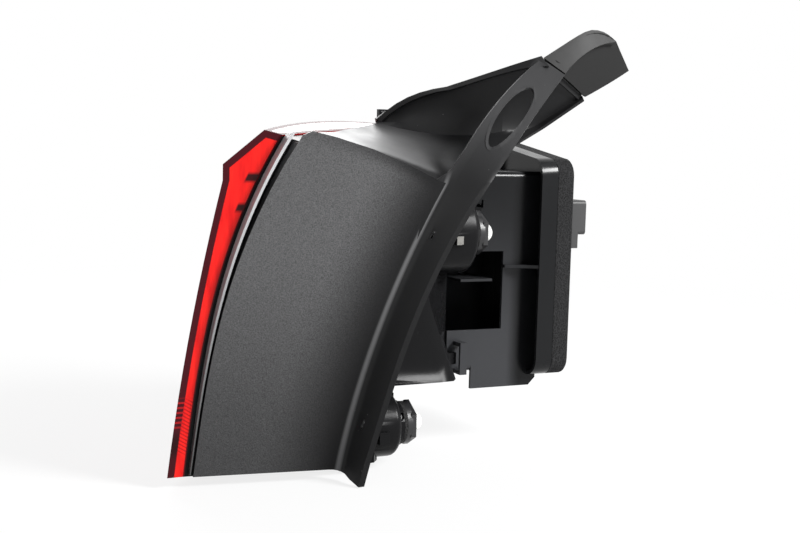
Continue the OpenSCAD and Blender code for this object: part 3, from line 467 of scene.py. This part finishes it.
def moulded(name, colour, roughness):
    """Plain moulded plastic with a fine grain."""
    f = Finish(name, colour, roughness, Specular_IOR_Level=0.45)
    speck = f.noise(0.5 * MM)
    dark, pale = [c * 0.85 for c in colour], [min(1, c * 1.12) for c in colour]
    f.set("Base Color", f.mix(speck.ramp(0.3, 0.7), dark, pale))
    f.bump(speck, 0.2, 0.1 * MM)
    return f.material


def bulb_glass():
    """Glass of the bulbs."""
    f = Finish("bulb_glass", (0.95, 0.95, 0.93), 0.03, IOR=1.5, Transmission_Weight=0.95)
    f.bump(f.noise(9 * MM), 0.05, 0.3 * MM)
    return f.material


FINISHES = {
    "outer_lens": lens_red,
    "clear_window": lens_clear,
    "reflex_reflector": prism_red,
    "light_guide": guide_acrylic,
    "inner_bezel": lambda: moulded("bezel_black", (0.03, 0.03, 0.032), 0.4),
    "upper_reflector": bright_metal,
    "led_board": lambda: moulded("board_green", (0.03, 0.16, 0.07), 0.4),
    "leds": lambda: moulded("led_resin", (0.8, 0.72, 0.4), 0.25),
    "lamp_housing": housing_plastic,
    "rear_carrier": carrier_plastic,
    "foam_gasket": lambda: foam_rubber("foam_black", (0.014, 0.014, 0.0145)),
    "side_cover": smooth_plastic,
    "end_cap": cap_rubber,
    "upper_socket": lambda: moulded("holder_black", (0.02, 0.02, 0.021), 0.35),
    "upper_seal": lambda: foam_rubber("seal_rubber", (0.02, 0.02, 0.02)),
    "upper_insert": lambda: moulded("insert_white", (0.78, 0.78, 0.76), 0.35),
    "upper_bulb": bulb_glass,
    "contact_strip": lambda: plated_steel("contact_tin", (0.26, 0.255, 0.24), 0.4),
    "harness_connector": lambda: moulded("connector_grey", (0.034, 0.034, 0.035), 0.5),
    "fixing_stud": lambda: plated_steel("stud_zinc", (0.55, 0.55, 0.57), 0.35),
    "locating_pin": lambda: moulded("pin_nylon", (0.66, 0.66, 0.62), 0.4),
    "vent_cap": lambda: moulded("vent_black", (0.025, 0.025, 0.025), 0.6),
}
SAME_FINISH = {
    "lower_reflector": "upper_reflector",
    "lower_socket": "upper_socket",
    "lower_seal": "upper_seal",
    "lower_insert": "upper_insert",
    "lower_bulb": "upper_bulb",
    "connector_pins": "contact_strip",
    "carrier_screws": "fixing_stud",
}


# Mesh helpers

def deselect_all():
    if bpy.context.object and bpy.context.object.mode != "OBJECT":
        bpy.ops.object.mode_set(mode="OBJECT")
    bpy.ops.object.select_all(action="DESELECT")


def pick(obj):
    """Makes obj the one selected, active object."""
    deselect_all()
    obj.select_set(True)
    bpy.context.view_layer.objects.active = obj


def settle(obj):
    """Puts obj's place, turn and scale into its mesh."""
    pick(obj)
    bpy.ops.object.transform_apply(location=True, rotation=True, scale=True)


def give(obj, *materials):
    """obj shows these materials and no others."""
    obj.data.materials.clear()
    for material in materials:
        obj.data.materials.append(material)


def copy_of(node, name):
    """A merged copy of a CAD node's mesh, free to be changed."""
    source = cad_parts[node]
    obj = bpy.data.objects.new(name, source.data.copy())
    bpy.context.scene.collection.objects.link(obj)
    pick(obj)
    bpy.ops.object.mode_set(mode="EDIT")
    bpy.ops.mesh.select_all(action="SELECT")
    bpy.ops.mesh.remove_doubles(threshold=0.002 * MM)
    bpy.ops.object.mode_set(mode="OBJECT")
    return obj


def apply_modifier(obj, modifier):
    pick(obj)
    bpy.ops.object.modifier_apply(modifier=modifier.name)


def bevelled(obj, width, segments, angle, material=-1, smooth=35):
    """Rounds obj's sharp edges, shades it smooth and keeps its large faces flat."""
    edge = obj.modifiers.new("edges", "BEVEL")
    edge.width = width
    edge.segments = segments
    edge.limit_method = "ANGLE"
    edge.angle_limit = math.radians(angle)
    edge.use_clamp_overlap = True
    edge.material = material
    apply_modifier(obj, edge)
    bpy.ops.object.shade_smooth_by_angle(angle=math.radians(smooth))
    normals = obj.modifiers.new("normals", "WEIGHTED_NORMAL")
    normals.keep_sharp = True
    apply_modifier(obj, normals)


def swept(name, path):
    """A rectangular bar along a path of (centre, width, depth), upwards from its first point."""
    centre, wide, deep = path[0]
    deselect_all()
    bpy.ops.mesh.primitive_plane_add(size=1.0, location=centre)
    bar = bpy.context.view_layer.objects.active
    bar.name = name
    bar.scale = (wide, deep, 1.0)
    settle(bar)
    bpy.ops.object.mode_set(mode="EDIT")
    bpy.ops.mesh.select_all(action="SELECT")
    for (before, wide, deep), (after, wider, deeper) in zip(path, path[1:]):
        bpy.ops.mesh.extrude_region_move(TRANSFORM_OT_translate={"value": Vector(after) - Vector(before)})
        bpy.ops.transform.resize(value=(wider / wide, deeper / deep, 1.0), center_override=after)
    bpy.ops.mesh.select_all(action="SELECT")
    bpy.ops.mesh.normals_make_consistent(inside=False)
    bpy.ops.object.mode_set(mode="OBJECT")
    settle(bar)
    return bar


# Settings

class FinishSettings(bpy.types.PropertyGroup):
    """Main colours"""

    lens: bpy.props.FloatVectorProperty(
        name="Lens red", description="Brightest red of the lens's lit field",
        default=(0.85, 0.016, 0.02), size=3, min=0.0, max=1.0, subtype="COLOR")
    panel: bpy.props.FloatVectorProperty(
        name="Panel grey", description="Palest grey of the side cover's grained panel",
        default=(0.122, 0.122, 0.124), size=3, min=0.0, max=1.0, subtype="COLOR")


class LensSettings(bpy.types.PropertyGroup):
    """Sizes of the lens's dressing"""

    outline: bpy.props.FloatProperty(
        name="Edge width", description="Width of the dark rounded edges of the lens",
        default=0.6 * MM, min=0.1 * MM, max=1.2 * MM, unit="LENGTH")
    border: bpy.props.FloatProperty(
        name="Top border", description="Width of the dark border round the lens's top",
        default=3.5 * MM, min=0.5 * MM, max=6.0 * MM, unit="LENGTH")
    rim_height: bpy.props.FloatProperty(
        name="Rim height", description="Height of the raised edge beside the lens, as a share",
        default=1.0, min=0.3, max=1.1, subtype="FACTOR")


class CoverSettings(bpy.types.PropertyGroup):
    """Sizes of the side cover's dressing"""

    edge: bpy.props.FloatProperty(
        name="Edge radius", description="Rounding of the cover's moulded edges",
        default=0.5 * MM, min=0.0, max=1.0 * MM, unit="LENGTH")


class BodySettings(bpy.types.PropertyGroup):
    """Sizes of the body's dressing"""

    edge: bpy.props.FloatProperty(
        name="Edge radius", description="Rounding of the moulded edges of the carrier and the body",
        default=0.7 * MM, min=0.1 * MM, max=1.0 * MM, unit="LENGTH")


class StageSettings(bpy.types.PropertyGroup):
    """Camera, floor and light"""

    lens: bpy.props.FloatProperty(
        name="Focal length", description="Focal length of the camera in millimetres",
        default=55.0, min=20.0, max=200.0, unit="CAMERA")
    floor_drop: bpy.props.FloatProperty(
        name="Floor gap", description="Distance from the object's lowest point to the floor",
        default=0.5 * MM, min=0.0, max=0.1, unit="LENGTH")


# Operators

class TAIL_OT_finishes(bpy.types.Operator):
    """Gives every CAD node its moulded, foam, glass or metal finish"""

    bl_idname = "tail.finishes"
    bl_label = "Finish the CAD nodes"

    def execute(self, context):
        made = {node: make() for node, make in FINISHES.items()}
        for node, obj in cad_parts.items():
            give(obj, made[SAME_FINISH.get(node, node)])
        return {"FINISHED"}


class TAIL_OT_lens(bpy.types.Operator):
    """Dresses the lens: lit side wall in a dark border, a top painted pale as the light turns it, dark outline
    """

    bl_idname = "tail.lens"
    bl_label = "Lens"

    # Material slots of the lens beside its red skin
    side, top, border = 1, 2, 3

    def execute(self, context):
        size = context.scene.lens_settings
        lens = copy_of("outer_lens", "lens_shell")
        give(lens, bpy.data.materials["lens_red"], lens_side(), lens_top(), lens_border())
        for face in lens.data.polygons:
            if face.normal.y < -0.99 and face.center.y < -67.9 * MM:
                face.material_index = self.side
            elif face.normal.z > 0.85 and face.center.z > 80 * MM:
                face.material_index = self.top
        self.top_border(lens, size.border)
        bevelled(lens, size.outline, 2, 25, material=self.border)
        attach(lens, "root")
        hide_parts("outer_lens")
        self.rim(size.rim_height)
        return {"FINISHED"}

    def top_border(self, lens, width):
        """Insets the top's faces, so that the dark border runs round them too"""
        pick(lens)
        bpy.ops.object.mode_set(mode="EDIT")
        bpy.ops.mesh.select_all(action="DESELECT")
        bpy.ops.object.mode_set(mode="OBJECT")
        for face in lens.data.polygons:
            face.select = face.material_index == self.top
        bpy.ops.object.mode_set(mode="EDIT")
        bpy.ops.mesh.select_mode(type="FACE")
        bpy.ops.mesh.inset(thickness=width, depth=0.0, use_boundary=True)
        bpy.ops.object.mode_set(mode="OBJECT")
        for face in lens.data.polygons:
            if face.material_index == self.top and not face.select:
                face.material_index = self.border

    @staticmethod
    def rim(height):
        """The body's raised edge between the lens and the cover's panel"""
        steps, lowest, highest = 24, -134.5 * MM, 102 * MM
        path = []
        for step in range(steps + 1):
            z = lowest + (highest - lowest) * step / steps
            rise = rear_rise(z)
            deep = (3.6 + 7.5 * rise) * MM * height
            x = rear_edge(z) + (3.1 + 0.35 * rise) * MM
            path.append(((x, -67.6 * MM - deep / 2, z), (1.0 + 1.7 * rise) * MM, deep))
        rim = swept("body_rim", path)
        give(rim, rim_satin())
        bevelled(rim, 0.3 * MM, 2, 40)
        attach(rim, "root")


class TAIL_OT_cover(bpy.types.Operator):
    """Dresses the side cover: grained panel, smooth flange, arm and top, and the soft end cap"""

    bl_idname = "tail.cover"
    bl_label = "Side cover and cap"

    def execute(self, context):
        cover = copy_of("side_cover", "side_cover_skin")
        give(cover, bpy.data.materials["smooth_black_plastic"], grained_plastic())
        outward = Vector((-math.sin(COVER_TURN), -math.cos(COVER_TURN), 0))
        for face in cover.data.polygons:
            if face.normal.dot(outward) > 0.985 and face.center.y < -70 * MM and face.center.z < 101 * MM:
                face.material_index = 1
        self.sink_ring(cover)
        self.trim_panel(cover)
        bevelled(cover, context.scene.cover_settings.edge, 2, 40, smooth=24)
        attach(cover, "root")
        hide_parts("side_cover")
        self.cap()
        self.tongue()
        return {"FINISHED"}

    @staticmethod
    def sink_ring(cover):
        """Lowers the raised edge of the oval opening until it is nearly flush with the arm"""
        half_length, half_width, stands = 33.6, 11.1, 2.5

        def at(share):
            left, right = arc(*ARM_LEFT, share), arc(*ARM_RIGHT, share)
            return (left + right) / 2, right - left

        centre, over_way = at(0.5)
        along = (at(0.6)[0] - at(0.4)[0]).normalized()
        across = (over_way - over_way.dot(along) * along).normalized()
        inward = along.cross(across)
        raised, foot = [], []
        for corner in cover.data.vertices:
            away = corner.co - centre
            height = away.dot(inward) / MM
            ring = math.hypot(away.dot(along) / half_length, away.dot(across) / half_width) / MM
            if ring < 1.03 and abs(height + stands) < 0.05:
                raised.append(corner)
            elif 0.97 < ring < 1.03 and -2.4 < height < 0.85:
                foot.append((corner.co.copy(), height))
        if not raised or not foot:
            raise RuntimeError("the raised edge of the oval opening isn't where it should be")
        for corner in raised:
            height = min(foot, key=lambda point: (point[0] - corner.co).length)[1]
            corner.co = corner.co + inward * (stands + height) * MM

    @staticmethod
    def trim_panel(cover):
        """Lifts the panel's top corner by the lens and lowers the one at the crease"""
        def soft_step(value, low, high):
            share = min(1.0, max(0.0, (value - low) / (high - low)))
            return share * share * (3 - 2 * share)

        for corner in cover.data.vertices:
            x, y, z = corner.co / MM
            share = min(1.0, max(0.0, (x + 243) / 108))
            weight = soft_step(z, -10, 78) * soft_step(-y, 25, 62)
            weight *= 1 - soft_step(z, 104 - 22 * share, 126 - 12 * share)
            climb = weight * (4.5 - 11.5 * share)
            corner.co += Vector((0.58 * climb, 0.0, climb)) * MM

    @staticmethod
    def cap():
        """The soft cap, with its bulging back lowered"""
        reach, drop = 0.65, 3.0 * MM
        cap = copy_of("end_cap", "end_cap_skin")
        give(cap, bpy.data.materials["cap_satin"])
        start, end = (Vector(point) * MM for point in CAP_LINE)
        way = end - start
        for corner in cap.data.vertices:
            share = (corner.co - start).dot(way) / way.length_squared
            if 0 < share < reach:
                near = arc(*CAP_NEAR, share)
                rise = arc(*CAP_RIDGE, share) - near
                weight = min(1.0, max(0.0, (corner.co - near).dot(rise) / rise.length_squared))
                corner.co.z -= drop * weight * math.sin(math.pi * share / reach)
        bevelled(cap, 0.5 * MM, 2, 35, smooth=32)
        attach(cap, "root")
        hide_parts("end_cap")

    @staticmethod
    def tongue():
        """Thin tongue behind the joint of far sheet and cap"""
        top, low = Vector((-38.0, -56.5, 160.0)) * MM, Vector((11.8, -34.8, 136.6)) * MM
        way = Vector((0.62, 0.12, 0.78)).normalized() * 3.2 * MM
        deselect_all()
        bpy.ops.mesh.primitive_plane_add(size=1.0)
        tongue = bpy.context.view_layer.objects.active
        tongue.name = "joint_tongue"
        places = (top - way, low - way, top + way, low + way)
        for corner, place in zip(sorted(tongue.data.vertices, key=lambda v: (v.co.y, v.co.x)), places):
            corner.co = place
        bpy.ops.object.mode_set(mode="EDIT")
        bpy.ops.mesh.select_all(action="SELECT")
        bpy.ops.mesh.subdivide(number_cuts=3)
        bpy.ops.object.mode_set(mode="OBJECT")
        wall = tongue.modifiers.new("wall", "SOLIDIFY")
        wall.thickness = 1.2 * MM
        wall.offset = 0.0
        apply_modifier(tongue, wall)
        give(tongue, bpy.data.materials["smooth_black_plastic"])
        bevelled(tongue, 0.2 * MM, 2, 40)
        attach(tongue, "root")


class TAIL_OT_body(bpy.types.Operator):
    """Rounds the moulded edges of the lamp body, carrier, foam, holders and connector"""

    bl_idname = "tail.body"
    bl_label = "Body, carrier, foam and holders"

    # CAD node, piece, slot name, finish, and edge radius as a share of the setting
    pieces = (
        ("lamp_housing", "lamp_body", "housing", "housing_black", 1.0),
        ("rear_carrier", "carrier_shell", "carrier", "carrier_black", 1.0),
        ("foam_gasket", "foam_ring", "foam", "foam_black", 1.6),
        ("harness_connector", "connector_shell", "connector", "connector_grey", 0.5),
        ("upper_socket", "upper_holder", "holder", "holder_black", 0.4),
        ("lower_socket", "lower_holder", "holder", "holder_black", 0.4),
    )

    def execute(self, context):
        edge = context.scene.body_settings.edge
        for node, name, slot, finish, share in self.pieces:
            piece = copy_of(node, name)
            bevelled(piece, edge * share, 3, 40)
            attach(piece, "root")
            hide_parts(node)
            give(piece, bpy.data.materials[finish])
        return {"FINISHED"}


class TAIL_OT_stage(bpy.types.Operator):
    """Pale floor, soft lamps, white surroundings and the camera"""

    bl_idname = "tail.stage"
    bl_label = "Stage and camera"

    # Name, place, size and power of each lamp
    lamps = (
        ("key_lamp", (1.0, -1.3, 1.1), 0.7, 66.0),
        ("fill_lamp", (-1.2, -1.2, 0.6), 1.2, 4.0),
        ("back_lamp", (0.0, 1.4, 0.75), 1.4, 18.0),
    )
    lit_point = (-0.12, 0.0, 0.0)
    # Turn from the line of the car, slope downwards, roll, and place of the camera
    camera_angles = (25.0, 6.0, 1.5)
    camera_place = (-0.535, -0.8737, 0.0998)

    def execute(self, context):
        settings = context.scene.stage_settings
        self.floor(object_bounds()[0].z - settings.floor_drop)
        self.surroundings()
        for lamp in self.lamps:
            self.lamp(*lamp)
        self.camera(settings.lens)
        context.scene.view_settings.view_transform = "Standard"
        return {"FINISHED"}

    @staticmethod
    def white_share(tree):
        """1 for rays from the camera, from mirrors and through glass, otherwise 0"""
        path = tree.nodes.new("ShaderNodeLightPath")
        share = path.outputs["Is Camera Ray"]
        for ray in ("Is Glossy Ray", "Is Transmission Ray"):
            either = tree.nodes.new("ShaderNodeMath")
            either.operation = "MAXIMUM"
            tree.links.new(share, either.inputs[0])
            tree.links.new(path.outputs[ray], either.inputs[1])
            share = either.outputs[0]
        return share

    def floor(self, height):
        """Pale floor that keeps the shadow and fades to white away from the object"""
        deselect_all()
        bpy.ops.mesh.primitive_plane_add(size=8.0, location=(0, 0, height))
        floor = bpy.context.view_layer.objects.active
        floor.name = "floor"
        settle(floor)
        material = bpy.data.materials.new("floor_pale")
        material.use_nodes = True
        tree = material.node_tree
        shader = tree.nodes["Principled BSDF"]
        shader.inputs["Base Color"].default_value = (0.85, 0.85, 0.85, 1)
        shader.inputs["Roughness"].default_value = 0.9
        place = tree.nodes.new("ShaderNodeTexCoord")
        far = tree.nodes.new("ShaderNodeVectorMath")
        far.operation = "LENGTH"
        tree.links.new(place.outputs["Object"], far.inputs[0])
        fade = tree.nodes.new("ShaderNodeMapRange")
        fade.interpolation_type = "SMOOTHSTEP"
        for socket, value in (("From Min", 0.3), ("From Max", 1.3), ("To Min", 0.82), ("To Max", 1.0)):
            fade.inputs[socket].default_value = value
        tree.links.new(far.outputs["Value"], fade.inputs["Value"])
        share = tree.nodes.new("ShaderNodeMath")
        share.operation = "MULTIPLY"
        tree.links.new(self.white_share(tree), share.inputs[0])
        tree.links.new(fade.outputs["Result"], share.inputs[1])
        glow = tree.nodes.new("ShaderNodeEmission")
        glow.inputs["Strength"].default_value = 1.0
        mix = tree.nodes.new("ShaderNodeMixShader")
        tree.links.new(share.outputs[0], mix.inputs["Fac"])
        tree.links.new(shader.outputs[0], mix.inputs[1])
        tree.links.new(glow.outputs[0], mix.inputs[2])
        tree.links.new(mix.outputs[0], tree.nodes["Material Output"].inputs["Surface"])
        give(floor, material)
        floor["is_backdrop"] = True

    def surroundings(self):
        """White for the camera, mirrors and glass, and a weak soft light for all else"""
        world = bpy.context.scene.world or bpy.data.worlds.new("surroundings")
        bpy.context.scene.world = world
        world.use_nodes = True
        tree = world.node_tree
        tree.nodes.clear()
        out = tree.nodes.new("ShaderNodeOutputWorld")
        lit = tree.nodes.new("ShaderNodeBackground")
        lit.inputs["Color"].default_value = (0.95, 0.97, 1.0, 1)
        lit.inputs["Strength"].default_value = 0.16
        white = tree.nodes.new("ShaderNodeBackground")
        white.inputs["Color"].default_value = (1, 1, 1, 1)
        white.inputs["Strength"].default_value = 1.0
        mix = tree.nodes.new("ShaderNodeMixShader")
        tree.links.new(self.white_share(tree), mix.inputs["Fac"])
        tree.links.new(lit.outputs[0], mix.inputs[1])
        tree.links.new(white.outputs[0], mix.inputs[2])
        tree.links.new(mix.outputs[0], out.inputs["Surface"])

    def lamp(self, name, place, size, power):
        """A round soft lamp that looks at the object's middle"""
        data = bpy.data.lights.new(name, "AREA")
        data.shape = "DISK"
        data.size = size
        data.energy = power
        lamp = bpy.data.objects.new(name, data)
        bpy.context.scene.collection.objects.link(lamp)
        lamp.location = place
        lamp.rotation_euler = (Vector(self.lit_point) - Vector(place)).to_track_quat("-Z", "Y").to_euler()

    def camera(self, focal_length):
        """The camera, at the angle and distance of the real one"""
        azimuth, elevation, roll = (math.radians(angle) for angle in self.camera_angles)
        ahead = Vector((math.sin(azimuth) * math.cos(elevation),
                        math.cos(azimuth) * math.cos(elevation), -math.sin(elevation)))
        right = ahead.cross(Vector((0, 0, 1))).normalized()
        up = right.cross(ahead)
        across = right * math.cos(roll) + up * math.sin(roll)
        above = up * math.cos(roll) - right * math.sin(roll)
        data = bpy.data.cameras.new("camera")
        data.lens = focal_length
        data.sensor_width = 36.0
        camera = bpy.data.objects.new("camera", data)
        bpy.context.scene.collection.objects.link(camera)
        turn = Matrix((across, above, -ahead)).transposed().to_4x4()
        camera.matrix_world = Matrix.Translation(self.camera_place) @ turn
        bpy.context.scene.camera = camera


class TAIL_PT_panel(bpy.types.Panel):
    """Lists the steps in the order in which they run"""

    bl_idname = "TAIL_PT_panel"
    bl_label = "Tail light cluster"
    bl_space_type = "VIEW_3D"
    bl_region_type = "UI"
    bl_category = "Tail Light"

    def draw(self, context):
        for step in STEPS:
            self.layout.operator(step.bl_idname)
        for name in SETTINGS:
            group = getattr(context.scene, name)
            for prop in group.bl_rna.properties:
                if prop.identifier not in ("name", "rna_type"):
                    self.layout.prop(group, prop.identifier)


SETTINGS = {"finish_settings": FinishSettings, "lens_settings": LensSettings,
            "cover_settings": CoverSettings, "body_settings": BodySettings,
            "stage_settings": StageSettings}
STEPS = (TAIL_OT_finishes, TAIL_OT_lens, TAIL_OT_cover, TAIL_OT_body, TAIL_OT_stage)


def register():
    for cls in (*SETTINGS.values(), *STEPS, TAIL_PT_panel):
        bpy.utils.register_class(cls)
    for name, cls in SETTINGS.items():
        setattr(bpy.types.Scene, name, bpy.props.PointerProperty(type=cls))


def unregister():
    for name in SETTINGS:
        delattr(bpy.types.Scene, name)
    for cls in reversed((*SETTINGS.values(), *STEPS, TAIL_PT_panel)):
        bpy.utils.unregister_class(cls)


def main():
    register()
    for step in STEPS:
        group, name = step.bl_idname.split(".")
        getattr(getattr(bpy.ops, group), name)()


if __name__ == "__main__":
    main()
